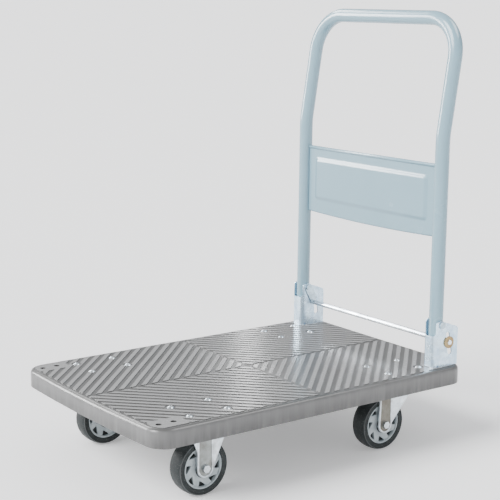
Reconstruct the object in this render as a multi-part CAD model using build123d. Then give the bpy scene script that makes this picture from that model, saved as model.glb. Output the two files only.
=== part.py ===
from build123d import *
import os
from math import atan2, cos, degrees, hypot, pi, radians, sin

# A folding platform cart: a moulded deck on two fixed and two swivel casters, with a tubular
# handle that folds down over the deck. Millimetres, +Z up, floor at z = 0. The handle stands
# at the +X end, the rear. The bowed end is the front. Left and right are those of the person
# pushing, so left is -Y. The row's origin is under the middle of the overall length.

# ---- Driving dimensions of the deck
deck_length = 720.0  # between the straight ends, without the bow
deck_width = 480.0
front_bow = 8.0  # how far the middle of the front end stands forward
skirt_height = 35.0
skirt_wall = 4.0
plate_thickness = 4.5
deck_corner_radius = 37.0
deck_edge_round = 8.0
under_rib_wall = 3.0
under_rib_depth = 16.0
under_rib_rows = 7
under_rib_columns = 11

# ---- Tread bars: nested diamonds about the middle of the deck
bar_height = 1.0
bar_width = 8.5
bar_pitch = 24.0  # along either edge
bar_border = 12.0  # plain edge round the bars
bar_channel = 7.0  # gap along the two centre lines

# ---- Handle
tube_diameter = 28.0
tube_wall = 2.0
leg_inset = 33.0  # leg's axis to the deck's side
handle_inset = 55.0  # leg's axis to the deck's rear end
handle_top = 673.0  # cross tube's axis above the deck
handle_bend_height = 451.0  # where the legs start to lean back
handle_lean = 35.0
handle_corner_radius = 75.0
handle_bend_radius = 160.0
tube_below_pivot = 30.0
pivot_height = 84.0  # above the deck
pivot_diameter = 8.0

# ---- Handle panel: pressed sheet with a raised field, a rolled top and a turned-in bottom
panel_bottom = 255.0  # above the deck
panel_height = 139.0
panel_sheet = 1.5
panel_field_margin = 17.0
panel_field_raise = 3.0
panel_roll_diameter = 7.0
panel_lip = 9.0

# ---- Brackets: zinc-plated sheet, folded to a channel that opens to the rear
bracket_sheet = 2.2
bracket_corner_radius = 9.0
bracket_length = 61.5
web_height = 62.0
cheek_front_height = 92.0
cheek_rear_height = 76.0
bracket_bolt_pitch = 30.0
bracket_bolt_inset = 21.5  # rear bolt to the deck's rear end
cheek_corner_radius = 8.0
ear_radius = 13.0
slot_lean = 12.0  # degrees from upright
bar_travel = 16.0
slot_up = 16.0  # slot beyond the bar's rest place, upwards
slot_down = bar_travel + 5.0

# ---- Release bar
bar_diameter = 10.0
bar_behind_pivot = 20.0
bar_below_pivot = 36.5
washer_diameter = 24.0
washer_thickness = 2.0
latch_plate_width = 18.0
latch_plate_thickness = 2.0
spring_diameter = 10.0
spring_wire = 1.2
spring_turns = 7

# ---- Casters
caster_headroom = 28.0  # top of the wheel to the top of the plate
caster_pad_depth = 26.0  # top of the plate to the tops of the tread bars
caster_plate_length = 105.0
caster_plate_margin = 10.0  # beside the bolts
caster_plate_thickness = 3.0
caster_bolt_pitch_x = 80.0
caster_bolt_room = 8.2  # fork leg's outside to a plate bolt's axis
caster_inset_x = 130.0  # plate's centre to the deck's end
caster_inset_y = 72.5  # plate's centre to the deck's side
swivel_trail = 35.0
fork_sheet = 2.8
fork_foot_radius = 17.0
front_fork_reach_front = 31.0
front_fork_reach_rear = 42.0
rear_fork_reach_front = 14.0  # leg's upright front edge to the axle
crown_diameter = 70.0
crown_gap = 10.6  # swivel plate's underside to the top of the crown
kingpin_diameter = 12.0
ball_diameter = 6.0
ball_circle_diameter = 50.0
ball_count = 20

# ---- Wheels
wheel_diameter = 105.0
wheel_width = 34.0
tyre_depth = 12.5
tyre_shoulder = 6.5
rim_width = 30.0
rim_band = 3.2
rim_disc = 26.0
hub_diameter = 32.0
pocket_count = 8
pocket_depth = 9.0
pocket_span = 27.0  # degrees along the band
pocket_lean = 3.0  # degrees
pocket_inner_radius = 24.5
pocket_edge = 0.9  # left inside the band
pocket_corner_radius = 1.5
bearing_diameter = 24.0
bearing_width = 10.0
axle_sleeve_diameter = 12.0
dust_ring_diameter = 36.0
dust_ring_thickness = 1.4

# ---- Fasteners and fits
bolt_diameter = 8.0
bolt_head_diameter = 13.5
bolt_head_height = 3.2
bolt_seat_diameter = 20.0
nut_flats = 13.0
nut_height = 6.5
bolt_play = 0.3  # round a bolt's shank
accessory_hole_diameter = 11.0
running_play = 0.05  # round a pin that turns
sliding_play = 0.4  # beside a piece that moves
body_gap = 0.4

# ---- Places that follow from the sizes
centre_x = front_bow / 2
front_x = centre_x - deck_length / 2
rear_x = centre_x + deck_length / 2
caster_height = wheel_diameter + caster_headroom  # floor to the top of the plate
deck_height = caster_height + caster_pad_depth  # floor to the tops of the tread bars
skirt_bottom = deck_height - skirt_height
plate_top = deck_height - bar_height
plate_bottom = plate_top - plate_thickness
tube_radius = tube_diameter / 2
pivot_x = rear_x - handle_inset
pivot_z = deck_height + pivot_height
leg_y = deck_width / 2 - leg_inset
web_x = pivot_x - tube_radius - body_gap - bracket_sheet
bracket_half = tube_radius + sliding_play + bracket_sheet
cheek_rear_x = web_x + bracket_length
bar_x = pivot_x + bar_behind_pivot
bar_z = pivot_z - bar_below_pivot
caster_y = deck_width / 2 - caster_inset_y
front_caster_x = front_x + caster_inset_x
rear_caster_x = rear_x - caster_inset_x
caster_plate_bottom = caster_height - caster_plate_thickness
axle_z = wheel_diameter / 2
dust_ring_face = wheel_width / 2 + dust_ring_thickness
fork_half = dust_ring_face + body_gap + 0.2
caster_bolt_pitch_y = 2 * (fork_half + fork_sheet + caster_bolt_room)
caster_plate_width = caster_bolt_pitch_y + 2 * caster_plate_margin
crown_top = caster_plate_bottom - crown_gap
crown_bottom = crown_top - fork_sheet
bracket_bolt_xs = [rear_x - bracket_bolt_inset - bracket_bolt_pitch, rear_x - bracket_bolt_inset]
accessory_hole_xs = [2 * centre_x - x for x in bracket_bolt_xs]
sides = {"left": -1, "right": 1}


def box(x0, x1, y0, y1, z0, z1):
    """A box between two corners."""
    centre = ((x0 + x1) / 2, (y0 + y1) / 2, (z0 + z1) / 2)
    return Pos(*centre) * Box(x1 - x0, y1 - y0, z1 - z0)


def rod_y(radius, x, y0, y1, z):
    """A round bar along Y."""
    return Pos(x, (y0 + y1) / 2, z) * Rot(90, 0, 0) * Cylinder(radius, abs(y1 - y0))


def rod_z(radius, x, y, z0, z1):
    """A round bar along Z."""
    return Pos(x, y, (z0 + z1) / 2) * Cylinder(radius, abs(z1 - z0))


def side_plate(face, y, thickness):
    """A face drawn with X across and Y up, stood upright across Y, centred on y."""
    return Pos(0, y + thickness / 2, 0) * Rot(90, 0, 0) * extrude(face, thickness)


def caster_bolt_places():
    """The centres of all the caster bolts, seen from above."""
    return [
        (x + sx * caster_bolt_pitch_x / 2, s * caster_y + sy * caster_bolt_pitch_y / 2)
        for x in (front_caster_x, rear_caster_x)
        for s in (-1, 1)
        for sx in (-1, 1)
        for sy in (-1, 1)
    ]


def corner_hole_places(xs):
    """The centres of the bracket holes, or of the matching front ones."""
    return [(x, s * leg_y) for x in xs for s in (-1, 1)]


def deck_face(inset=0.0):
    """The deck's outline seen from above, drawn in by inset."""
    half = deck_width / 2
    bow = ThreePointArc((front_x, -half), (front_x - front_bow, 0), (front_x, half))
    ends = Polyline((front_x, half), (rear_x, half), (rear_x, -half), (front_x, -half))
    face = make_face(bow + ends)
    face = fillet(face.vertices(), deck_corner_radius)
    return offset(face, amount=-inset) if inset else face


def corner_pads():
    """Flat pads at the tread bars' height, under the brackets and round the front holes."""
    length = bracket_length + 4
    width = 2 * bracket_half + 8
    middle = web_x + bracket_length / 2
    pads = Sketch()
    for x in (middle, 2 * centre_x - middle):
        for s in (-1, 1):
            pads += Pos(x, s * leg_y) * RectangleRounded(length, width, 6)
    return pads


def tread_face():
    """The tread bars seen from above."""
    field = deck_face(bar_border)
    reach = (deck_length + deck_width) / 2
    bars = Sketch()
    for sx in (-1, 1):
        for sy in (-1, 1):
            corner = Pos(centre_x + sx * (reach + bar_channel) / 2, sy * (reach + bar_channel) / 2)
            quarter = field & (corner * Rectangle(reach, reach))
            stripes = Sketch()
            place = bar_pitch
            while place < reach:
                middle = Pos(centre_x + sx * place / 2, sy * place / 2)
                stripes += middle * Rot(0, 0, -45 * sx * sy) * Rectangle(2 * reach, bar_width)
                place += bar_pitch
            bars += quarter & stripes
    seats = [Pos(x, y) * Circle(bolt_seat_diameter / 2) for x, y in caster_bolt_places()]
    return bars - seats


def deck():
    """The moulded deck: plate, skirt, under-ribs, caster pads, bolt bosses and tread bars."""
    body = extrude(deck_face(), plate_top - skirt_bottom)
    body = fillet(body.edges().group_by(Axis.Z)[-1], deck_edge_round)
    body -= extrude(deck_face(skirt_wall), plate_bottom - skirt_bottom)
    body = Pos(0, 0, skirt_bottom) * body
    inside = Pos(0, 0, skirt_bottom) * extrude(deck_face(skirt_wall / 2), skirt_height - bar_height)
    rib_low = plate_bottom - under_rib_depth
    half_rib = under_rib_wall / 2
    ribs = []
    for i in range(under_rib_columns):
        x = front_x + deck_length * (i + 1) / (under_rib_columns + 1)
        ribs.append(box(x - half_rib, x + half_rib, -deck_width, deck_width, rib_low, plate_bottom))
    for i in range(under_rib_rows):
        y = -deck_width / 2 + deck_width * (i + 1) / (under_rib_rows + 1)
        ribs.append(box(2 * front_x, 2 * rear_x, y - half_rib, y + half_rib, rib_low, plate_bottom))
    ribs = Part() + ribs
    pads = []
    pockets = []
    for x in (front_caster_x, rear_caster_x):
        for s in (-1, 1):
            y = s * caster_y
            half_x = caster_plate_length / 2 + 4
            half_y = caster_plate_width / 2 + 4
            pad = box(x - half_x, x + half_x, y - half_y, y + half_y, caster_height, plate_bottom)
            pads.append(pad)
            half_x -= under_rib_wall + 2
            half_y -= under_rib_wall + 2
            pocket = box(x - half_x, x + half_x, y - half_y, y + half_y, skirt_bottom, plate_bottom)
            pockets.append(pocket)
    bolt_places = caster_bolt_places()
    corner_places = corner_hole_places(bracket_bolt_xs)
    open_places = corner_hole_places(accessory_hole_xs)
    boss = bolt_diameter / 2 + 6
    bosses = [rod_z(boss, x, y, caster_height, plate_bottom) for x, y in bolt_places]
    bosses += [rod_z(boss, x, y, rib_low, plate_bottom) for x, y in corner_places + open_places]
    pads = Part() + pads
    pockets = Part() + pockets
    under = ((ribs - pads) + (pads - pockets)) & inside
    under = (under - pockets) + bosses
    body = body + under
    pad_faces = corner_pads() & deck_face(deck_edge_round + 1)
    tread = (tread_face() - corner_pads()) + pad_faces
    body = body + Pos(0, 0, plate_top) * extrude(tread, bar_height)
    hole = bolt_diameter / 2 + bolt_play
    body -= [rod_z(hole, x, y, skirt_bottom, deck_height + 1) for x, y in bolt_places + corner_places]
    open_hole = accessory_hole_diameter / 2
    body -= [rod_z(open_hole, x, y, skirt_bottom, deck_height + 1) for x, y in open_places]
    return body


def bracket(side):
    """One handle bracket: web, two cheeks and a base with two bolt holes."""
    y = side * leg_y
    length = bracket_length + bracket_corner_radius  # rounded at both ends, then cut to length
    outer = RectangleRounded(length, 2 * bracket_half, bracket_corner_radius)
    inner_radius = bracket_corner_radius - bracket_sheet
    inner = RectangleRounded(length - 2 * bracket_sheet, 2 * (bracket_half - bracket_sheet), inner_radius)
    channel = extrude(outer, cheek_front_height) - extrude(inner, cheek_front_height)
    channel = Pos(web_x + length / 2, y, deck_height) * channel
    low = deck_height
    top = deck_height + cheek_front_height
    outline = FilletPolyline(
        (web_x, low),
        (cheek_rear_x, low),
        (cheek_rear_x, deck_height + cheek_rear_height),
        (pivot_x, top),
        (web_x, top),
        radius=[0, 0, cheek_corner_radius, ear_radius, ear_radius],
        close=True,
    )
    channel = channel & side_plate(make_face(outline), y, 4 * bracket_half)
    opening = tube_radius + sliding_play + 0.1
    mouth_rear = web_x + bracket_corner_radius + 1
    mouth = box(web_x - 1, mouth_rear, y - opening, y + opening, low + web_height, top + 1)
    mouth = fillet(mouth.edges().filter_by(Axis.X).group_by(Axis.Z)[0], 6)
    channel -= mouth
    base = box(
        web_x + bracket_sheet / 2,
        cheek_rear_x,
        y - bracket_half + bracket_sheet / 2,
        y + bracket_half - bracket_sheet / 2,
        low,
        low + bracket_sheet,
    )
    front_clip = Pos(web_x + length / 2, y, low) * extrude(outer, bracket_sheet)
    channel = channel + (base & front_clip)
    channel -= rod_y(2.0, web_x + bracket_corner_radius, y - 20, y + 20, low + bracket_sheet)
    channel -= rod_y(pivot_diameter / 2 + running_play, pivot_x, y - 20, y + 20, pivot_z)
    slot = SlotCenterToCenter(slot_up + slot_down, bar_diameter + 2 * sliding_play)
    middle = (slot_up - slot_down) / 2
    slot_x = bar_x - middle * sin(radians(slot_lean))
    slot_z = bar_z + middle * cos(radians(slot_lean))
    slot = Pos(slot_x, slot_z) * Rot(0, 0, 90 + slot_lean) * slot
    channel -= side_plate(slot, y, 4 * bracket_half)
    hole = bolt_diameter / 2 + bolt_play
    channel -= [rod_z(hole, x, y, low - 1, low + 5) for x in bracket_bolt_xs]
    return channel


def dome_bolt(x, y, seat_z, end_z):
    """A low-domed bolt with its head on seat_z and its tip at end_z."""
    radius = bolt_head_diameter / 2
    sphere_radius = (radius**2 + bolt_head_height**2) / (2 * bolt_head_height)
    dome = Pos(x, y, seat_z + bolt_head_height - sphere_radius) * Sphere(sphere_radius)
    head = rod_z(radius, x, y, seat_z, seat_z + bolt_head_height) & dome
    return head + rod_z(bolt_diameter / 2, x, y, end_z, seat_z)


def hex_nut(x, y, top_z):
    """A nut hanging below top_z on a vertical bolt."""
    ring = RegularPolygon(nut_flats / 2, 6, major_radius=False) - Circle(bolt_diameter / 2)
    return Pos(x, y, top_z - nut_height) * extrude(ring, nut_height)


def handle_tube():
    """The bent hoop, with the pivot holes through its feet."""
    low = pivot_z - tube_below_pivot
    bend = deck_height + handle_bend_height
    top = deck_height + handle_top
    back = pivot_x + handle_lean
    half = [(pivot_x, leg_y, low), (pivot_x, leg_y, bend), (back, leg_y, top)]
    points = half + [(x, -y, z) for x, y, z in reversed(half)]
    radii = [handle_bend_radius, handle_corner_radius, handle_corner_radius, handle_bend_radius]
    path = FilletPolyline(*points, radius=radii)
    start = Plane(origin=points[0], z_dir=(0, 0, 1))
    ring = Circle(tube_radius) - Circle(tube_radius - tube_wall)
    tube = sweep(start * ring, path)
    for s in (-1, 1):
        tube -= rod_y(pivot_diameter / 2, pivot_x, s * leg_y - 20, s * leg_y + 20, pivot_z)
    return tube


def handle_panel():
    """The pressed panel welded between the legs."""
    half = leg_y - tube_radius
    low = deck_height + panel_bottom
    top = low + panel_height
    sheet = panel_sheet / 2
    body = box(pivot_x - sheet, pivot_x + sheet, -half, half, low, top)
    width = 2 * (half - panel_field_margin)
    height = panel_height - 2 * panel_field_margin
    field = RectangleRounded(width, height, 8)
    inner = RectangleRounded(width - 2 * panel_sheet, height - 2 * panel_sheet, 8 - panel_sheet)
    stand = Pos(pivot_x - sheet, 0, (low + top) / 2) * Rot(0, -90, 0) * Rot(0, 0, 90)
    body += stand * extrude(field, panel_field_raise)
    body -= Pos(panel_sheet, 0, 0) * stand * extrude(inner, panel_field_raise)
    roll = rod_y(panel_roll_diameter / 2, pivot_x, -half, half, top)
    lip = box(pivot_x - sheet, pivot_x - sheet + panel_lip, -half, half, low, low + panel_sheet)
    return body + roll + lip


def pivot_pins():
    """The two pins that turn with the handle in the brackets."""
    solids = []
    for s in (-1, 1):
        outer = s * (leg_y + bracket_half + body_gap)
        inner = s * (leg_y - bracket_half - body_gap - latch_plate_thickness)
        pin = rod_y(pivot_diameter / 2, pivot_x, outer, inner, pivot_z)
        pin += rod_y(pivot_diameter / 2 + 3, pivot_x, outer, outer + s * 2.5, pivot_z)
        pin += rod_y(pivot_diameter / 2 + 2.5, pivot_x, inner, inner - s * 3.0, pivot_z)
        solids.append(pin)
    return solids


def latch_plate(side):
    """The plate on the inner end of a pivot pin, whose round end stands over the release bar."""
    reach = hypot(bar_behind_pivot, bar_below_pivot) - bar_diameter / 2 - body_gap
    half = latch_plate_width / 2
    long_plate = Pos(0, -reach / 2) * Rectangle(latch_plate_width, reach) + Circle(half)
    face = (long_plate & Circle(reach)) - Circle(pivot_diameter / 2)
    angle = degrees(atan2(bar_behind_pivot, bar_below_pivot))
    face = Pos(pivot_x, pivot_z) * Rot(0, 0, angle) * face
    y = side * (leg_y - bracket_half - body_gap - latch_plate_thickness / 2)
    return side_plate(face, y, latch_plate_thickness)


def release_bar():
    """The cross bar that is pressed down with a foot, with peened ends."""
    end = leg_y + bracket_half + body_gap + washer_thickness
    bar = rod_y(bar_diameter / 2, bar_x, -end - 3, end + 3, bar_z)
    return chamfer(bar.edges().filter_by(GeomType.CIRCLE), 1.2)


def bar_washers():
    """The two large washers on the bar, outside the brackets."""
    solids = []
    for s in (-1, 1):
        near = s * (leg_y + bracket_half + body_gap)
        far = near + s * washer_thickness
        washer = rod_y(washer_diameter / 2, bar_x, near, far, bar_z)
        solids.append(washer - rod_y(bar_diameter / 2, bar_x, near - s, far + s, bar_z))
    return solids


def return_spring(side):
    """The spring that stands on the bracket's base and lifts the bar."""
    low = deck_height + bracket_sheet + spring_wire / 2
    top = bar_z - bar_diameter / 2 - spring_wire / 2 - 0.2
    height = top - low
    radius = (spring_diameter - spring_wire) / 2
    line = Helix(height / spring_turns, height, radius)
    start = Plane(origin=line @ 0, z_dir=line % 0)
    coil = sweep(start * Circle(spring_wire / 2), line)
    return Pos(bar_x, side * leg_y, low) * coil


def caster_plate(x, y):
    """The top plate of a caster, with its four holes."""
    plate = RectangleRounded(caster_plate_length, caster_plate_width, 8)
    hole = Circle(bolt_diameter / 2 + bolt_play)
    for sx in (-1, 1):
        for sy in (-1, 1):
            plate -= Pos(sx * caster_bolt_pitch_x / 2, sy * caster_bolt_pitch_y / 2) * hole
    return Pos(x, y, caster_plate_bottom) * extrude(plate, caster_plate_thickness)


def fork_legs(outline, axle_x, y):
    """Two upright legs of one outline, rounded about the axle, with the axle's holes."""
    web = make_face(Polyline(*outline, close=True))
    foot = Pos(axle_x, axle_z) * Circle(fork_foot_radius)
    face = web + foot
    face -= Pos(axle_x, axle_z) * Circle(bolt_diameter / 2)
    legs = []
    for s in (-1, 1):
        legs.append(side_plate(face, y + s * (fork_half + fork_sheet / 2), fork_sheet))
    return legs


def front_fork(side):
    """A fixed caster's frame: plate, cross web and two legs."""
    x = front_caster_x
    y = side * caster_y
    r = fork_foot_radius
    top = caster_plate_bottom
    outline = [
        (x - r, axle_z),
        (x + r, axle_z),
        (x + front_fork_reach_rear, top - 22),
        (x + front_fork_reach_rear, top),
        (x - front_fork_reach_front, top),
        (x - front_fork_reach_front, top - 8),
        (x - r, top - 45),
    ]
    half = fork_half + fork_sheet
    web = box(
        x - front_fork_reach_front, x + front_fork_reach_rear, y - half, y + half, top - fork_sheet, top
    )
    return caster_plate(x, y) + fork_legs(outline, x, y) + web


def swivel_plate(side):
    """A swivel caster's plate, with the ring that the balls run under."""
    x = rear_caster_x
    y = side * caster_y
    ring_low = crown_top + ball_diameter + body_gap
    ring = rod_z(ball_circle_diameter / 2 + 6, x, y, ring_low, caster_plate_bottom)
    ring -= rod_z(ball_circle_diameter / 2 - 6, x, y, ring_low, caster_plate_bottom)
    return caster_plate(x, y) + ring - rod_z(kingpin_diameter / 2, x, y, 0, deck_height)


def kingpin(side):
    """The pin that the fork swivels on, riveted over the plate, with its nut below."""
    x = rear_caster_x
    y = side * caster_y
    nut_top = crown_bottom - body_gap
    pin = rod_z(kingpin_diameter / 2, x, y, nut_top - nut_height, caster_height)
    pin += rod_z(kingpin_diameter / 2 + 4, x, y, caster_height, caster_height + 2)
    return pin + rod_z(kingpin_diameter / 2 + 4, x, y, nut_top - nut_height, nut_top)


def swivel_balls(side):
    """The ring of balls between the plate and the crown."""
    balls = []
    for i in range(ball_count):
        angle = 2 * pi * i / ball_count
        x = rear_caster_x + ball_circle_diameter / 2 * cos(angle)
        y = side * caster_y + ball_circle_diameter / 2 * sin(angle)
        balls.append(Pos(x, y, crown_top + ball_diameter / 2) * Sphere(ball_diameter / 2))
    return balls


def rear_fork(side):
    """A swivel caster's fork: round crown and two legs that lead back to the axle."""
    x = rear_caster_x
    y = side * caster_y
    axle_x = x - swivel_trail
    r = fork_foot_radius
    crown_reach = (crown_diameter**2 / 4 - (fork_half + fork_sheet) ** 2) ** 0.5
    outline = [
        (axle_x - r, axle_z),
        (axle_x + r, axle_z),
        (x + crown_reach, crown_bottom - 12),
        (x + crown_reach, crown_top),
        (axle_x - rear_fork_reach_front, crown_top),
    ]
    crown = rod_z(crown_diameter / 2, x, y, crown_bottom, crown_top)
    fork = crown + fork_legs(outline, axle_x, y)
    return fork - rod_z(kingpin_diameter / 2 + running_play, x, y, crown_bottom - 1, crown_top + 1)


def axle_bolt(x, side):
    """The bolt through a caster's legs: hex head outside, tip past the nut."""
    s = side
    y = s * caster_y
    outer = fork_half + fork_sheet
    bolt = rod_y(bolt_diameter / 2, x, y + s * outer, y - s * (outer + nut_height + 2), axle_z)
    hexagon = RegularPolygon(nut_flats / 2, 6, major_radius=False)
    head = side_plate(Pos(x, axle_z) * hexagon, y + s * (outer + 2.75), 5.5)
    return bolt + head


def axle_nut(x, side):
    """The nut on the inner end of an axle bolt."""
    y = side * (caster_y - fork_half - fork_sheet - nut_height / 2)
    ring = RegularPolygon(nut_flats / 2, 6, major_radius=False) - Circle(bolt_diameter / 2)
    return side_plate(Pos(x, axle_z) * ring, y, nut_height)


def axle_sleeve(x, side):
    """The spacer tube clamped between a caster's legs, which the wheel runs on."""
    y = side * caster_y
    sleeve = rod_y(axle_sleeve_diameter / 2, x, y - fork_half, y + fork_half, axle_z)
    return sleeve - rod_y(bolt_diameter / 2, x, y - fork_half, y + fork_half, axle_z)


def tyre(x, y):
    """A solid rubber tyre with rounded shoulders."""
    outer = wheel_diameter / 2
    section = RectangleRounded(tyre_depth + tyre_shoulder, wheel_width, tyre_shoulder)
    section = Pos(outer - (tyre_depth + tyre_shoulder) / 2, 0) * section
    core = Pos(outer - tyre_depth - 50, 0) * Rectangle(100, 2 * wheel_width)
    ring = revolve(section - core, Axis.Y)
    return Pos(x, y, axle_z) * ring


def polar(radius, angle):
    """A point at an angle in degrees about the origin."""
    return (radius * cos(radians(angle)), radius * sin(radians(angle)))


def rim_pocket():
    """One pocket of a rim's face: a leaning three-cornered opening under the band."""
    outer = wheel_diameter / 2 - tyre_depth - rim_band - pocket_edge
    start = polar(outer, -pocket_span / 2)
    end = polar(outer, pocket_span / 2)
    root = polar(pocket_inner_radius, -pocket_span / 2 - pocket_lean)
    face = make_face(ThreePointArc(start, (outer, 0), end) + Polyline(end, root, start))
    return fillet(face.vertices(), pocket_corner_radius)


def rim(x, y):
    """A moulded rim: band with lips, thick disc with pockets in both faces, and hub."""
    outer = wheel_diameter / 2 - tyre_depth
    hub = hub_diameter / 2
    band = Pos(outer - rim_band / 2, 0) * Rectangle(rim_band, rim_width)
    disc = Pos(outer / 2, 0) * Rectangle(outer - rim_band, rim_disc)
    hub_section = Pos(hub / 2, 0) * Rectangle(hub, wheel_width)
    bore = Pos(bearing_diameter / 4, 0) * Rectangle(bearing_diameter / 2, 2 * wheel_width)
    solid = revolve(band + disc + hub_section - bore, Axis.Y)
    pocket = rim_pocket()
    for s in (-1, 1):
        for i in range(pocket_count):
            turned = Rot(0, 0, 360 * i / pocket_count) * pocket
            solid -= side_plate(turned, s * (rim_disc - pocket_depth) / 2, pocket_depth)
    return Pos(x, y, axle_z) * solid


def bearings(x, y):
    """The two bearings pressed into the ends of a hub."""
    rings = []
    for s in (-1, 1):
        far = y + s * wheel_width / 2
        near = far - s * bearing_width
        ring = rod_y(bearing_diameter / 2, x, near, far, axle_z)
        rings.append(ring - rod_y(axle_sleeve_diameter / 2 + running_play, x, near, far, axle_z))
    return rings


def dust_rings(x, y):
    """The two rings that cover a hub's ends."""
    rings = []
    for s in (-1, 1):
        near = y + s * wheel_width / 2
        far = y + s * dust_ring_face
        ring = rod_y(dust_ring_diameter / 2, x, near, far, axle_z)
        rings.append(ring - rod_y(axle_sleeve_diameter / 2 + 1, x, near, far, axle_z))
    return rings


def write(name, shapes):
    """Writes one node, of one solid or of several alike."""
    solids = []
    for shape in shapes if isinstance(shapes, list) else [shapes]:
        solids += shape.solids()
    shape = solids[0] if len(solids) == 1 else Compound(solids)
    export_step(shape, f"parts/{name}.step")


os.makedirs("parts", exist_ok=True)

write("deck", deck())
caster_tip = caster_plate_bottom - nut_height - 2
write("caster_bolts", [dome_bolt(x, y, plate_top, caster_tip) for x, y in caster_bolt_places()])
write("caster_nuts", [hex_nut(x, y, caster_plate_bottom) for x, y in caster_bolt_places()])

boss_bottom = plate_bottom - under_rib_depth
bracket_seat = deck_height + bracket_sheet
bracket_places = corner_hole_places(bracket_bolt_xs)
tip = boss_bottom - nut_height - 2
write("bracket_bolts", [dome_bolt(x, y, bracket_seat, tip) for x, y in bracket_places])
write("bracket_nuts", [hex_nut(x, y, boss_bottom) for x, y in bracket_places])

write("handle_tube", handle_tube())
write("handle_panel", handle_panel())
write("pivot_pins", pivot_pins())
write("release_bar", release_bar())
write("bar_washers", bar_washers())

rear_axle_x = rear_caster_x - swivel_trail
write("front_axle_bolts", [axle_bolt(front_caster_x, s) for s in sides.values()])
write("front_axle_nuts", [axle_nut(front_caster_x, s) for s in sides.values()])
write("front_axle_sleeves", [axle_sleeve(front_caster_x, s) for s in sides.values()])

for name, s in sides.items():
    write(f"bracket_{name}", bracket(s))
    write(f"latch_plate_{name}", latch_plate(s))
    write(f"return_spring_{name}", return_spring(s))
    write(f"front_fork_{name}", front_fork(s))
    write(f"swivel_plate_{name}", swivel_plate(s))
    write(f"kingpin_{name}", kingpin(s))
    write(f"swivel_balls_{name}", swivel_balls(s))
    write(f"rear_fork_{name}", rear_fork(s))
    write(f"rear_axle_bolt_{name}", axle_bolt(rear_axle_x, s))
    write(f"rear_axle_nut_{name}", axle_nut(rear_axle_x, s))
    write(f"rear_axle_sleeve_{name}", axle_sleeve(rear_axle_x, s))
    for end, x in (("front", front_caster_x), ("rear", rear_axle_x)):
        y = s * caster_y
        write(f"tyre_{end}_{name}", tyre(x, y))
        write(f"rim_{end}_{name}", rim(x, y))
        write(f"bearings_{end}_{name}", bearings(x, y))
        write(f"dust_rings_{end}_{name}", dust_rings(x, y))
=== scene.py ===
import math

import bpy
from mathutils import Matrix, Vector


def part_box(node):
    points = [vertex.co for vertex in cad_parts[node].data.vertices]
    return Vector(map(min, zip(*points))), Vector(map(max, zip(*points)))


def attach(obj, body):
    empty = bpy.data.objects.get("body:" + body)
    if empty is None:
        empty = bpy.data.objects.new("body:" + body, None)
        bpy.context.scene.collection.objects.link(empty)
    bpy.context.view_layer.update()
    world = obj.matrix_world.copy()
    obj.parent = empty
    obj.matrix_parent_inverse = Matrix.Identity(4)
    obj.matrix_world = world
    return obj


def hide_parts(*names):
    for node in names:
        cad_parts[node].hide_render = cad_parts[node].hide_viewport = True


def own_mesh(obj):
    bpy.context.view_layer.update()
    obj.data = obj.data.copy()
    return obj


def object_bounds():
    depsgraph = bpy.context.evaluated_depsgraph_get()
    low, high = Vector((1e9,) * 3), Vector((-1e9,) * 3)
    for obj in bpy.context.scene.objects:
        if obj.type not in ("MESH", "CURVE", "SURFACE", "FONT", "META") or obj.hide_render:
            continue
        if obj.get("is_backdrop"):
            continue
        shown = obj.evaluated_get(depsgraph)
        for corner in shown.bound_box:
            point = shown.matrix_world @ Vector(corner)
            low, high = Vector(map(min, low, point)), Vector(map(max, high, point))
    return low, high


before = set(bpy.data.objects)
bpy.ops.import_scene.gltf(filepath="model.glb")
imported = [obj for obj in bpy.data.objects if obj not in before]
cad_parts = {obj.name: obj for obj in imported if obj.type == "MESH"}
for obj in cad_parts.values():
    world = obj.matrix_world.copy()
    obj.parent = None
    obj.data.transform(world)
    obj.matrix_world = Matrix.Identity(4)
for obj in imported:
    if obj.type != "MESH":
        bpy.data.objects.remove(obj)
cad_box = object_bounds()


# ---------------------------------------------------------------- the view
# The cart is seen from ahead of its front left corner, a little above the deck, through a
# long lens that is tipped by well under a degree.
scene = bpy.context.scene
view_from = Vector((-1.4706, -1.9846, 0.8640))
view_aim = Vector((0.0060, -0.0015, 0.3889))
view_roll = math.radians(0.645)

lens = bpy.data.cameras.new("view")
lens.lens = 94.11
lens.sensor_width = 36.0
lens.clip_end = 1000.0
camera = bpy.data.objects.new("view", lens)
scene.collection.objects.link(camera)
facing = (view_aim - view_from).to_track_quat("-Z", "Y").to_matrix().to_4x4()
camera.matrix_world = Matrix.Translation(view_from) @ facing @ Matrix.Rotation(view_roll, 4, "Z")
scene.camera = camera


# ---------------------------------------------------------------- studio floor and light
# A pale floor under a white sky that is bright on the near side and dim on the far side, so
# that plated parts have something to mirror. Softboxes beside the broad key light put
# highlights on edges and tubes, and a narrow lamp lays a streak across the glossy deck.
floor_reach = 400.0
floor_pale = (0.88, 0.88, 0.885, 1)
floor_shade = (0.85, 0.85, 0.855, 1)
floor_glow = 0.3
sky_high = (0.95, 0.96, 0.98, 1)
sky_near = (2.2, 2.22, 2.28, 1)
sky_far = (0.32, 0.34, 0.37, 1)
far_side = (0.60, 0.80, 0.0)
key_from = Vector((-2.4, 0.4, 2.0))
key_power = 6.4
key_angle = math.radians(38)


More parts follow.
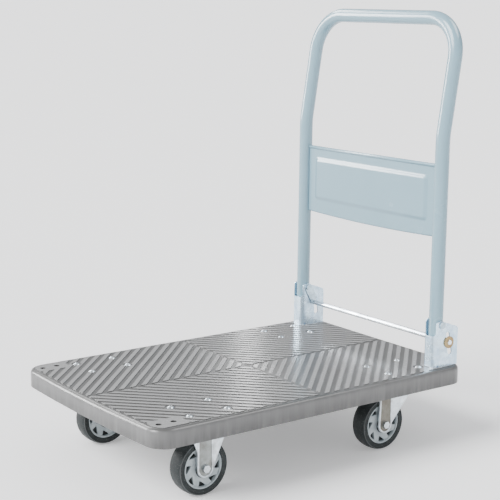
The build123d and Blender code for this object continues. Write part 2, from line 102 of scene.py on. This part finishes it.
class Field:
    """A value over a surface, held as a node's output; sums on it add Math nodes."""

    def __init__(self, tree, socket=None):
        self.tree = tree
        self.socket = socket

    def node(self, kind, settings=None, inputs=None, output=0):
        """Adds a node: its settings first, then the values or links of its sockets."""
        made = self.tree.nodes.new(kind)
        for key, value in (settings or {}).items():
            setattr(made, key, value)
        for key, value in (inputs or {}).items():
            if isinstance(value, Field):
                self.tree.links.new(value.socket, made.inputs[key])
            else:
                made.inputs[key].default_value = value
        return Field(self.tree, made.outputs[output])

    def maths(self, operation, first, second=0.0):
        """One Math node on two values, each a field or a number."""
        return self.node("ShaderNodeMath", {"operation": operation}, {0: first, 1: second})

    def __add__(self, other):
        return self.maths("ADD", self, other)

    def __radd__(self, other):
        return self.maths("ADD", other, self)

    def __sub__(self, other):
        return self.maths("SUBTRACT", self, other)

    def __rsub__(self, other):
        return self.maths("SUBTRACT", other, self)

    def __mul__(self, other):
        return self.maths("MULTIPLY", self, other)

    def __rmul__(self, other):
        return self.maths("MULTIPLY", other, self)

    def __abs__(self):
        return self.maths("ABSOLUTE", self)

    def clamped(self, low, high):
        """This value stretched so that low gives 0 and high gives 1, and no further."""
        settings = {"interpolation_type": "SMOOTHSTEP"}
        return self.node("ShaderNodeMapRange", settings, {0: self, 1: low, 2: high})

    def places(self):
        """The surface's own points, in metres."""
        return self.node("ShaderNodeTexCoord", None, None, 3)

    def along(self, axis):
        """One part of a vector: 0, 1 or 2 for x, y or z."""
        return self.node("ShaderNodeSeparateXYZ", None, {0: self}, axis)

    def stretched(self, x, y, z):
        """Points with each part multiplied, so that noise on them runs long or short."""
        return self.node("ShaderNodeVectorMath", {"operation": "MULTIPLY"}, {0: self, 1: (x, y, z)})

    def cloud(self, scale, detail=4.0, roughness=0.55):
        """Cloudy noise from 0 to 1 at these points, its scale in turns per metre."""
        inputs = {"Vector": self, "Scale": scale, "Detail": detail, "Roughness": roughness}
        return self.node("ShaderNodeTexNoise", None, inputs)

    def mixed(self, first, second):
        """Two colours mixed by this share from 0 to 1."""
        return self.node("ShaderNodeMix", {"data_type": "RGBA"}, {0: self, 6: first, 7: second}, 2)

    def bumped(self, depth, strength=1.0):
        """A normal pushed out by this height, from 0 to 1, times a depth in metres."""
        inputs = {"Strength": strength, "Distance": depth, "Height": self}
        return self.node("ShaderNodeBump", None, inputs)


def finish(name):
    """A new material: a field on its node tree, and a function that fills its shader."""
    material = bpy.data.materials.new(name)
    material.use_nodes = True
    tree = material.node_tree
    shader = tree.nodes["Principled BSDF"]

    def fill(**values):
        for key, value in values.items():
            socket = shader.inputs[key.replace("_", " ")]
            if isinstance(value, Field):
                tree.links.new(value.socket, socket)
            else:
                socket.default_value = value
        return material

    return Field(tree), fill


def pale_floor():
    """A dull pale surface with a faint cloud in it and a little light of its own."""
    field, fill = finish("pale_floor")
    cloud = field.places().cloud(1.5, 3.0)
    colour = cloud.mixed(floor_shade, floor_pale)
    return fill(Base_Color=colour, Roughness=0.9, Specular_IOR_Level=0.1,
                Emission_Color=(1, 1, 1, 1), Emission_Strength=floor_glow)


floor_mesh = bpy.data.meshes.new("floor")
corners = [(x * floor_reach, y * floor_reach, 0) for x, y in ((-1, -1), (1, -1), (1, 1), (-1, 1))]
floor_mesh.from_pydata(corners, [], [(0, 1, 2, 3)])
floor_mesh.materials.append(pale_floor())
floor = bpy.data.objects.new("floor", floor_mesh)
scene.collection.objects.link(floor)
floor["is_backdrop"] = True

sky = bpy.data.worlds.new("sky")
scene.world = sky
sky.use_nodes = True
sky_field = Field(sky.node_tree)
sky_place = sky_field.node("ShaderNodeTexCoord", None, None, 0)
both_ways = {0: sky_place, 1: far_side}
away = sky_place.node("ShaderNodeVectorMath", {"operation": "DOT_PRODUCT"}, both_ways, "Value")
sky_climb = sky_place.along(2)
dimmed = away.clamped(-0.3, 0.5) * sky_climb.clamped(0.015, 0.06)
sky_colour = sky_climb.clamped(0.05, 0.45).mixed(dimmed.mixed(sky_near, sky_far), sky_high)
sky.node_tree.links.new(sky_colour.socket, sky.node_tree.nodes["Background"].inputs["Color"])

key = bpy.data.lights.new("key_light", "SUN")
key.energy = key_power
key.angle = key_angle
key_light = bpy.data.objects.new("key_light", key)
scene.collection.objects.link(key_light)
key_light.rotation_euler = (-key_from).to_track_quat("-Z", "Y").to_euler()


def softbox(name, place, aim, width, height, power):
    """A rectangular lamp, out of view, that shows only as a highlight on glossy parts."""
    data = bpy.data.lights.new(name, "AREA")
    data.shape = "RECTANGLE"
    data.size = width
    data.size_y = height
    data.energy = power
    lamp = bpy.data.objects.new(name, data)
    scene.collection.objects.link(lamp)
    lamp.location = place
    lamp.rotation_euler = (Vector(aim) - Vector(place)).to_track_quat("-Z", "Y").to_euler()
    lamp.visible_camera = False
    lamp.visible_diffuse = False


softbox("streak_lamp", (2.60, 3.5, 1.5), (0, 0, 0.2), 0.10, 1.0, 3.2)
softbox("front_softbox", (-2.6, 4.0, 1.8), (0, 0, 0.4), 1.4, 2.3, 340)
softbox("side_softbox", (-0.1, 3.7, 3.4), (0.3, 0, 0.6), 2.6, 1.0, 130)
softbox("top_softbox", (1.6, -1.0, 3.0), (0, 0, 0.2), 2.2, 1.2, 70)


# ---------------------------------------------------------------- deck
# The platform is one injection moulding in grey plastic, with raised tread bars in nested
# diamonds and a turned-down skirt. The bars are polished by loads, the grooves between them
# are painted dark as painted shade, patchy with some dirt, the skirt is painted darker than
# the top as painted shade and darker still towards its bottom, and faint lines across the
# skirt show where the mould's parts met.
mm = 0.001
deck_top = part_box("deck")[1][2]
bar_height = 1.0 * mm
bar_colour = (0.235, 0.235, 0.235, 1)
bar_worn = (0.31, 0.31, 0.31, 1)
# painted shade: the grooves' floors are painted far darker than the bars, with darker patches of dirt
groove_painted_shade = (0.066, 0.066, 0.065, 1)
groove_shade_and_dirt = (0.048, 0.047, 0.045, 1)
# painted shade: the skirt is painted darker than the top, and darker still towards its bottom
skirt_shade_colour = (0.108, 0.108, 0.1075, 1)
skirt_low_shade = (0.066, 0.066, 0.065, 1)
skirt_streak = (0.155, 0.155, 0.155, 1)
mould_line_colour = (0.12, 0.12, 0.12, 1)
mould_lines = (-0.291, -0.271, -0.192, -0.137, -0.003, 0.132, 0.289)
mould_line_half = 0.9 * mm


def deck_plastic():
    """Plastic told apart by height: scuffed bars, grooves in painted shade patchy with dirt, and a streaky
    skirt in painted shade that darkens towards its bottom.
    """
    field, fill = finish("deck_plastic")
    where = field.places()
    height = where.along(2)
    top = height.clamped(deck_top - 0.7 * bar_height, deck_top - 0.1 * bar_height)
    skirt = 1.0 - height.clamped(deck_top - 6 * mm, deck_top - 2.2 * mm)
    grain = where.cloud(900.0, 2.0)
    blotch = where.cloud(14.0, 4.0)
    scuffs = where.stretched(1.0, 3.0, 1.0).cloud(160.0, 3.0).clamped(0.56, 0.72)
    streaks = where.stretched(1.0, 1.0, 0.12).cloud(90.0, 3.0).clamped(0.35, 0.75)
    line = 0.0
    for place in mould_lines:
        distance = abs(where.along(0) - place)
        line = line + (1.0 - distance.clamped(0.0, mould_line_half))
    bars = (scuffs * 0.55 * blotch).mixed(bar_colour, bar_worn)
    # grooves: painted shade, patchy with dirt
    grooves = blotch.clamped(0.4, 0.7).mixed(groove_painted_shade, groove_shade_and_dirt)
    # skirt: painted shade, darker towards its bottom
    sides = height.clamped(deck_top - 32 * mm, deck_top - 10 * mm).mixed(skirt_low_shade, skirt_shade_colour)
    sides = (streaks * 0.5).mixed(sides, skirt_streak)
    sides = (line * 0.45).mixed(sides, mould_line_colour)
    colour = skirt.mixed(top.mixed(grooves, bars), sides)
    rough = 0.26 - top * 0.10 + scuffs * 0.12 + grain * 0.05
    return fill(Base_Color=colour, Roughness=rough, Normal=grain.bumped(0.08 * mm, 0.35))


def dress(node, material):
    """Gives a frame part its material."""
    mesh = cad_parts[node].data
    mesh.materials.clear()
    mesh.materials.append(material)


def soften(piece, width, flatten=False):
    """Small rounded edges, as on any moulded or pressed part."""
    if flatten:
        flat = piece.modifiers.new("flat", "DECIMATE")
        flat.decimate_type = "DISSOLVE"
        flat.angle_limit = math.radians(1.0)
    edge = piece.modifiers.new("edge", "BEVEL")
    edge.width = width
    edge.segments = 2
    edge.limit_method = "ANGLE"
    edge.angle_limit = math.radians(35)
    edge.harden_normals = True


dress("deck", deck_plastic())
soften(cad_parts["deck"], 0.6 * mm, flatten=True)


# ---------------------------------------------------------------- plated caster frames
# The casters' plates, fixed forks and swivel heads are pressed from sheet steel, welded or
# riveted, and bright zinc plated. The zinc is cloudy and greys with handling.
zinc_bright = (0.78, 0.84, 0.89, 1)
zinc_cloud = (0.56, 0.61, 0.65, 1)
zinc_stain = (0.36, 0.36, 0.34, 1)


def zinc_plate(name, bright, cloud_colour, stain, stain_share, polish=0.22):
    """Zinc with clouds, stains and specks; polish is its roughness where it is brightest."""
    field, fill = finish(name)
    where = field.places()
    cloud = where.cloud(70.0, 3.0)
    fine = where.cloud(500.0, 2.0)
    stains = where.cloud(28.0, 5.0, 0.65).clamped(0.42, 0.72)
    specks = where.cloud(1100.0, 2.0).clamped(0.64, 0.74)
    colour = cloud.clamped(0.3, 0.7).mixed(bright, cloud_colour)
    colour = (stains * stain_share).mixed(colour, stain)
    colour = (specks * 0.4).mixed(colour, stain)
    rough = polish + cloud * 0.14 + stains * 0.12
    height = cloud * 0.7 + fine * 0.3
    return fill(Base_Color=colour, Metallic=0.9, Roughness=rough, Normal=height.bumped(0.3 * mm, 0.3))


fork_zinc = zinc_plate("fork_zinc", zinc_bright, zinc_cloud, zinc_stain, 0.75)
for side in ("left", "right"):
    for kind in ("front_fork", "swivel_plate", "rear_fork", "kingpin"):
        dress(f"{kind}_{side}", fork_zinc)
    for kind in ("front_fork", "rear_fork"):
        soften(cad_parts[f"{kind}_{side}"], 0.7 * mm, flatten=True)


# ---------------------------------------------------------------- fork beads and flats
# Each fork leg is stiffened by a bead pressed outwards along its two sides and round its
# foot. A thin slab on the flat between the beads is painted darker as a painted reflection
# of dark surroundings, grey on the front forks and grey-brown on the rear, while the beads
# and the gusset behind them keep the forks' bright zinc.
bead_half = 1.9 * mm
bead_reach = 15.0 * mm
bead_steps = 16
leg_face = 21.8 * mm  # from the wheel's middle
leg_taper = {"front": 0.0, "rear": 3.0 * mm}  # the rear leg's front edge leans in
flat_proud = 0.25 * mm
flat_root = -1.0 * mm
plate_sheet = 3.0 * mm
# painted reflection: the flats are painted darker than the fork zinc, and brown on the rear, for dark
# surroundings mirrored in them
flat_reflection_colours = {"front": (0.30, 0.32, 0.315, 1), "rear": (0.185, 0.178, 0.155, 1)}
flat_reflection_clouds = {"front": (0.22, 0.23, 0.225, 1), "rear": (0.135, 0.128, 0.108, 1)}
flat_stain = (0.12, 0.105, 0.085, 1)


def leg_outline(axle, top, reach, taper):
    """Points of X and Z down one side of a leg, round its foot and up the other side."""
    points = [(axle[0] - reach + taper, top)]
    for i in range(bead_steps + 1):
        turn = math.pi + math.pi * i / bead_steps
        points.append((axle[0] + reach * math.cos(turn), axle[2] + reach * math.sin(turn)))
    return points + [(axle[0] + reach, top)]


def new_piece(name, data, material, body, slot, *stands_for):
    """Links a finished mesh or curve as a piece: its finish, its body, what it replaces."""
    if isinstance(data, bpy.types.Mesh):
        for polygon in data.polygons:
            polygon.use_smooth = True
    data.materials.clear()
    data.materials.append(material)
    piece = bpy.data.objects.new(name, data)
    scene.collection.objects.link(piece)
    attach(piece, body)
    if stands_for:
        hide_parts(*stands_for)
    return piece


def fork_beads(name, axle, top, taper):
    """The round beads on the outer faces of a fork's two legs."""
    line = bpy.data.curves.new(name, "CURVE")
    line.dimensions = "3D"
    line.bevel_depth = bead_half
    line.bevel_resolution = 3
    line.use_fill_caps = True
    for s in (-1, 1):
        points = leg_outline(axle, top, bead_reach, taper)
        spline = line.splines.new("POLY")
        spline.points.add(len(points) - 1)
        for point, (x, z) in zip(spline.points, points):
            point.co = (x, axle[1] + s * leg_face, z, 1)
        spline.use_smooth = True
    return line


def fork_reflection_flats(name, axle, top, taper):
    """The thin flats inside the beads, each a closed slab that carries a painted dark reflection."""
    mesh = bpy.data.meshes.new(name)
    outline = leg_outline(axle, top, bead_reach - 0.5 * bead_half, taper)
    count = len(outline)
    points = []
    faces = []
    for s in (-1, 1):
        first = len(points)
        for depth in (flat_root, flat_proud):
            points += [(x, axle[1] + s * (leg_face + depth), z) for x, z in outline]
        near = list(range(first, first + count))
        far = list(range(first + count, first + 2 * count))
        faces += [near[::s], far[::-s]]
        for i in range(count):
            j = (i + 1) % count
            faces.append([near[i], near[j], far[j], far[i]][::-s])
    mesh.from_pydata(points, [], faces)
    return mesh


def centre_of(node):
    """The middle of a frame part's box."""
    low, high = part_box(node)
    return [(low[i] + high[i]) / 2 for i in range(3)]


# painted reflection for the flats' slabs
painted_reflection_zinc = {end: zinc_plate(f"painted_reflection_zinc_{end}", flat_reflection_colours[end], flat_reflection_clouds[end], flat_stain, 0.7)
             for end in ("front", "rear")}
for side in ("left", "right"):
    plate_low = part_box(f"swivel_plate_{side}")[1][2] - plate_sheet
    crown_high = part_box(f"rear_fork_{side}")[1][2]
    for end, top, body in (("front", plate_low, "root"), ("rear", crown_high, f"swivel_{side}")):
        leg = (centre_of(f"rim_{end}_{side}"), top, leg_taper[end])
        name = f"{end}_fork_beads_{side}"
        new_piece(name, fork_beads(name, *leg), fork_zinc, body, "bright_zinc")
        # the flats carry the painted dark reflection
        name = f"{end}_fork_flats_{side}"
        flats = new_piece(name, fork_reflection_flats(name, *leg), painted_reflection_zinc[end], body, "bright_zinc")
        for polygon in flats.data.polygons:
            polygon.use_smooth = False


# ---------------------------------------------------------------- fasteners
# Domed bolts, hexagon bolts and nuts, all plated steel straight from the box: brighter than
# the pressed parts, with small rounded edges.
bolt_bright = (0.66, 0.71, 0.75, 1)
bolt_cloud = (0.40, 0.44, 0.47, 1)
fastener_zinc = zinc_plate("fastener_zinc", bolt_bright, bolt_cloud, zinc_stain, 0.4, 0.13)
fasteners = ["caster_bolts", "caster_nuts", "bracket_bolts", "bracket_nuts"]
fasteners += ["front_axle_bolts", "front_axle_nuts"]
fasteners += [f"rear_axle_{kind}_{side}" for kind in ("bolt", "nut") for side in ("left", "right")]
fasteners += ["front_axle_sleeves", "rear_axle_sleeve_left", "rear_axle_sleeve_right"]
for node in fasteners:
    dress(node, fastener_zinc)
    soften(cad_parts[node], 0.35 * mm)


# ---------------------------------------------------------------- bearings and balls
# Two bearings are pressed into each hub, and a ring of balls carries each swivel head. They
# are ground steel with a film of oil.
steel_clean = (0.60, 0.60, 0.61, 1)
steel_oily = (0.34, 0.33, 0.31, 1)


def ground_steel():
    """Bright steel under uneven oil, with fine turning marks."""
    field, fill = finish("ground_steel")
    where = field.places()
    film = where.cloud(220.0, 3.0)
    turned = where.stretched(1.0, 0.2, 1.0).cloud(1400.0, 2.0)
    colour = film.clamped(0.4, 0.7).mixed(steel_clean, steel_oily)
    rough = 0.2 + film * 0.2
    return fill(Base_Color=colour, Metallic=1.0, Roughness=rough, Normal=turned.bumped(0.05 * mm, 0.3))


oiled_steel = ground_steel()
wheels = [(end, side) for end in ("front", "rear") for side in ("left", "right")]
for end, side in wheels:
    dress(f"bearings_{end}_{side}", oiled_steel)
for side in ("left", "right"):
    dress(f"swivel_balls_{side}", oiled_steel)


# ---------------------------------------------------------------- rims
# Each rim is one light grey moulding with eight leaning pockets in each face. The pockets
# are painted darker towards their floors as painted shade, and the plastic is lighter in
# random patches.
rim_colour = (0.30, 0.345, 0.365, 1)
rim_rubbed = (0.40, 0.445, 0.46, 1)
# painted shade for the pockets' floors
rim_pocket_shade = (0.035, 0.04, 0.04, 1)
caster_middle = abs(centre_of("rim_front_left")[1])
pocket_floor = 5.0 * mm
disc_face = 12.6 * mm


def rim_plastic():
    """Light grey plastic, painted darker towards the pockets' floors as painted shade."""
    field, fill = finish("rim_plastic")
    where = field.places()
    cloud = where.cloud(60.0, 4.0)
    grain = where.cloud(900.0, 2.0)
    # painted shade: darker towards each pocket's floor
    depth = abs(abs(where.along(1)) - caster_middle)
    pocket_shade = 1.0 - depth.clamped(pocket_floor, disc_face)
    colour = cloud.clamped(0.35, 0.7).mixed(rim_colour, rim_rubbed)
    colour = (pocket_shade * 0.93).mixed(colour, rim_pocket_shade)
    rough = 0.32 + cloud * 0.12 + pocket_shade * 0.2
    return fill(Base_Color=colour, Roughness=rough, Normal=grain.bumped(0.06 * mm, 0.3))


moulded_rim = rim_plastic()
for end, side in wheels:
    dress(f"rim_{end}_{side}", moulded_rim)
    soften(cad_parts[f"rim_{end}_{side}"], 0.5 * mm, flatten=True)


# ---------------------------------------------------------------- dust rings
# Rings of black plastic are pressed into the hubs' ends and keep dust out of the bearings.
# They are never polished, so they stay dull.
ring_black = (0.012, 0.012, 0.013, 1)
ring_dust = (0.045, 0.045, 0.043, 1)


def black_plastic():
    """Dull black plastic with settled dust."""
    field, fill = finish("black_plastic")
    where = field.places()
    dust = where.cloud(160.0, 4.0).clamped(0.45, 0.75)
    grain = where.cloud(1300.0, 2.0)
    colour = dust.mixed(ring_black, ring_dust)
    return fill(Base_Color=colour, Roughness=0.4 + dust * 0.25, Normal=grain.bumped(0.05 * mm, 0.3))


ring_plastic = black_plastic()
for end, side in wheels:
    dress(f"dust_rings_{end}_{side}", ring_plastic)
    soften(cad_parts[f"dust_rings_{end}_{side}"], 0.3 * mm)


# ---------------------------------------------------------------- tyres
# Solid tyres of dark grey rubber, moulded on the rims: a slightly crowned tread, a raised
# line round each shoulder that is painted lighter as a painted highlight, and a lip that
# folds over the rim's edge.
# The half section is radius and distance from the middle, in millimetres.
tyre_section = [
    (39.4, 12.0), (39.4, 15.3), (40.3, 16.2), (41.6, 16.3), (42.3, 15.9), (45.0, 16.1), (47.6, 16.2),
    (48.4, 16.4), (48.9, 16.9), (49.5, 17.0), (50.0, 16.6), (50.1, 15.6), (50.5, 14.6), (51.3, 12.8),
    (51.9, 9.8), (52.3, 5.5), (52.5, 0.0),
]
tyre_steps = 128
shoulder_line = 49.5 * mm
rubber_colour = (0.0195, 0.0230, 0.0235, 1)
rubber_bloom = (0.037, 0.0430, 0.0440, 1)
rubber_dust = (0.15, 0.15, 0.145, 1)
# painted highlight for the shoulder line
shoulder_painted_highlight = (0.13, 0.135, 0.137, 1)


def tyre_rubber():
    """Dark rubber with bloom and dust, and a painted highlight along the shoulder line."""
    field, fill = finish("tyre_rubber")
    where = field.places()
    bloom = where.cloud(60.0, 4.0).clamped(0.38, 0.75)
    dust = where.cloud(420.0, 3.0).clamped(0.60, 0.68)
    grain = where.cloud(1500.0, 2.0)
    flat = where.stretched(1.0, 0.0, 1.0)
    radius = flat.node("ShaderNodeVectorMath", {"operation": "LENGTH"}, {0: flat}, "Value")
    # painted highlight along the raised shoulder line
    line = 1.0 - abs(radius - shoulder_line).clamped(0.1 * mm, 0.7 * mm)
    colour = bloom.mixed(rubber_colour, rubber_bloom)
    colour = (line * 0.75).mixed(colour, shoulder_painted_highlight)
    colour = (dust * 0.5).mixed(colour, rubber_dust)
    rough = 0.46 + bloom * 0.2 + dust * 0.2
    skin = grain.bumped(0.12 * mm, 0.4)
    return fill(Base_Color=colour, Roughness=rough, Specular_IOR_Level=0.17, Normal=skin)


def lathed(name, section, steps):
    """A ring turned about Y from a closed section of radius and distance along Y."""
    count = len(section)
    points = []
    faces = []
    for i in range(steps):
        turn = 2 * math.pi * i / steps
        points += [(radius * math.cos(turn), across, radius * math.sin(turn)) for radius, across in section]
        for j in range(count):
            here = i * count
            after = (i + 1) % steps * count
            following = (j + 1) % count
            faces.append((here + j, here + following, after + following, after + j))
    mesh = bpy.data.meshes.new(name)
    mesh.from_pydata(points, [], faces)
    return mesh


half_section = [(radius * mm, across * mm) for radius, across in tyre_section]
whole_section = [(radius, -across) for radius, across in half_section] + half_section[-2::-1]
rubber = tyre_rubber()
for end, side in wheels:
    name = f"tyre_{end}_{side}"
    ring = lathed(f"solid_{name}", whole_section, tyre_steps)
    solid = new_piece(f"solid_{name}", ring, rubber, f"wheel_{end}_{side}", "tyre_rubber", name)
    solid.matrix_world = Matrix.Translation(centre_of(name))


# ---------------------------------------------------------------- handle brackets
# Two folded brackets of thick zinc-plated sheet are bolted to the deck's rear corners. They
# take more wear than the casters, but are wiped clean, so they stay bright and bluish.
bracket_bright = (0.70, 0.87, 1.0, 1)
bracket_cloud = (0.46, 0.62, 0.78, 1)
bracket_stain = (0.34, 0.40, 0.45, 1)
bracket_zinc = zinc_plate("bracket_zinc", bracket_bright, bracket_cloud, bracket_stain, 0.5, 0.20)
for side in ("left", "right"):
    dress(f"bracket_{side}", bracket_zinc)
    soften(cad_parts[f"bracket_{side}"], 0.6 * mm, flatten=True)


# ---------------------------------------------------------------- handle tube
# The handle is one bent steel tube, sprayed with glossy blue-grey paint that shows a faint
# orange peel and is chipped in small spots.
paint_colour = (0.168, 0.285, 0.350, 1)
paint_light = (0.192, 0.318, 0.386, 1)
paint_chip = (0.55, 0.54, 0.48, 1)


def handle_paint():
    """Glossy clear-coated paint with orange peel and small chips."""
    field, fill = finish("handle_paint")
    where = field.places()
    cloud = where.cloud(12.0, 3.0)
    peel = where.cloud(380.0, 2.0)
    chips = where.cloud(150.0, 5.0, 0.7).clamped(0.715, 0.735)
    colour = cloud.mixed(paint_colour, paint_light)
    colour = (chips * 0.8).mixed(colour, paint_chip)
    rough = 0.22 + cloud * 0.08 + chips * 0.2
    height = peel * 0.6 - chips
    return fill(Base_Color=colour, Roughness=rough, Coat_Weight=0.5, Coat_Roughness=0.07,
                Normal=height.bumped(0.12 * mm, 0.35))


paint = handle_paint()
dress("handle_tube", paint)


# ---------------------------------------------------------------- handle panel
# A pressed sheet welded between the legs. Its middle is pressed forward behind a soft
# sloping border, its top edge is rolled round, and its bottom edge bows down and is folded
# to the rear. It is sprayed together with the tube.
panel_low, panel_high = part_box("handle_panel")
panel_half = panel_high[1]
sheet = 1.2 * mm
roll_radius = 3.5 * mm
sheet_x = centre_of("pivot_pins")[0]
side_border = 21.0 * mm
top_border = 20.0 * mm
bottom_border = 24.0 * mm
slope_width = 9.0 * mm
field_raise = 3.2 * mm
bottom_bow = 4.5 * mm
bow_start = 0.7
fold_radius = 3.0 * mm
fold_depth = 7.0 * mm
fold_steps = 5
rod_end_steps = 4
rod_end_bulge = 0.4
rod_sides = 24


def eased(share):
    """A soft step: 0 below 0, 1 above 1, level at both ends."""
    share = min(max(share, 0.0), 1.0)
    return share * share * (3 - 2 * share)


def pressed_out(y, from_top, from_bottom):
    """How far the sheet stands forward at a place on it."""
    side = eased((panel_half - abs(y) - side_border) / slope_width)
    top = eased((from_top - top_border) / slope_width)
    bottom = eased((from_bottom - bottom_border) / slope_width)
    return field_raise * side * top * bottom


def pressed_panel():
    """The sheet's middle surface: pressed field, bowed bottom edge and rear fold."""
    roll_z = panel_high[2] - roll_radius
    low_z = panel_low[2] + fold_radius
    span = roll_z - low_z
    columns = 160
    rows = 72
    points = []
    for i in range(columns + 1):
        y = -panel_half + 2 * panel_half * i / columns
        bow = bottom_bow * (1 - (y / panel_half) ** 2)
        for j in range(rows + 1):
            share = j / rows
            z = roll_z - span * share
            x = sheet_x - pressed_out(y, roll_z - z, z - low_z)
            points.append((x, y, z - bow * eased((share - bow_start) / (1 - bow_start))))
        for step in range(1, fold_steps + 1):
            turn = math.pi / 2 * step / fold_steps
            x = sheet_x + fold_radius * (1 - math.cos(turn))
            points.append((x, y, low_z - bow - fold_radius * math.sin(turn)))
        points.append((sheet_x + fold_depth, y, low_z - bow - fold_radius))
    height = rows + fold_steps + 2
    faces = []
    for i in range(columns):
        for j in range(height - 1):
            here = i * height + j
            faces.append((here, here + 1, here + height + 1, here + height))
    mesh = bpy.data.meshes.new("pressed_panel")
    mesh.from_pydata(points, [], faces)
    return mesh


def rounded_rod(name, radius, reach, place):
    """A rod along Y with rounded ends, each closed by a small flat face."""
    rings = []
    for i in range(1, rod_end_steps + 1):
        turn = math.pi / 2 * i / rod_end_steps
        rings.append((radius * math.sin(turn), rod_end_bulge * radius * (1 - math.cos(turn)) - reach))
    rings += [(out, -across) for out, across in reversed(rings)]
    points = []
    for out, across in rings:
        for step in range(rod_sides):
            turn = 2 * math.pi * step / rod_sides
            points.append((out * math.cos(turn), across, out * math.sin(turn)))
    last = len(points) - rod_sides
    faces = [list(range(rod_sides)), list(range(last, len(points)))[::-1]]
    for first in range(0, last, rod_sides):
        for step in range(rod_sides):
            here = first + step
            beside = first + (step + 1) % rod_sides
            faces.append((beside, here, here + rod_sides, beside + rod_sides))
    mesh = bpy.data.meshes.new(name)
    mesh.from_pydata(points, [], faces)
    mesh.transform(Matrix.Translation(place))
    return mesh


panel = new_piece("pressed_panel", pressed_panel(), paint, "handle", "handle_paint", "handle_panel")
thickness = panel.modifiers.new("sheet", "SOLIDIFY")
thickness.thickness = sheet
thickness.offset = 0.0
roll_place = (sheet_x, 0, panel_high[2] - roll_radius)
roll = rounded_rod("panel_roll", roll_radius, panel_half, roll_place)
new_piece("panel_roll", roll, paint, "handle", "handle_paint", "handle_panel")


# ---------------------------------------------------------------- pivot pins and latch plates
# The handle turns on two riveted pins. On each pin's inner end a plain plated plate stands
# down over the release bar.
pin_bright = (0.56, 0.70, 0.80, 1)
pin_cloud = (0.36, 0.47, 0.55, 1)
pin_zinc = zinc_plate("pin_zinc", pin_bright, pin_cloud, bracket_stain, 0.4, 0.14)
for node in ("pivot_pins", "latch_plate_left", "latch_plate_right"):
    dress(node, pin_zinc)
    soften(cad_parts[node], 0.4 * mm)


# ---------------------------------------------------------------- release bar
# A bright plated steel rod runs between the brackets and is pressed down with a foot. Its
# ends stand through the brackets' slots.
bar_bright = (0.86, 0.92, 0.98, 1)
bar_cloud = (0.72, 0.79, 0.86, 1)
bar_zinc = zinc_plate("bar_zinc", bar_bright, bar_cloud, bracket_stain, 0.2, 0.08)
dress("release_bar", bar_zinc)


# ---------------------------------------------------------------- bar washers
# Two large pressed washers, one outside each bracket, keep the bar in its slots. Their
# finish is a brown-gold passivation.
washer_gold = (0.42, 0.31, 0.15, 1)
washer_brown = (0.24, 0.16, 0.08, 1)
washer_stain = (0.12, 0.08, 0.05, 1)
washer_finish = zinc_plate("washer_finish", washer_gold, washer_brown, washer_stain, 0.5)
dress("bar_washers", washer_finish)
soften(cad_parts["bar_washers"], 0.35 * mm)


# ---------------------------------------------------------------- return springs
# A plain coil of bare steel wire stands on each bracket's base and lifts the bar.
for side in ("left", "right"):
    node = f"return_spring_{side}"
    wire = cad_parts[node].data.copy()
    coil = new_piece(f"coil_{side}", wire, oiled_steel, "root", "bare_steel", node)
    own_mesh(coil)


boxes = {"cad": cad_box, "visual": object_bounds()}
{name: [list(corner) for corner in box] for name, box in boxes.items()}
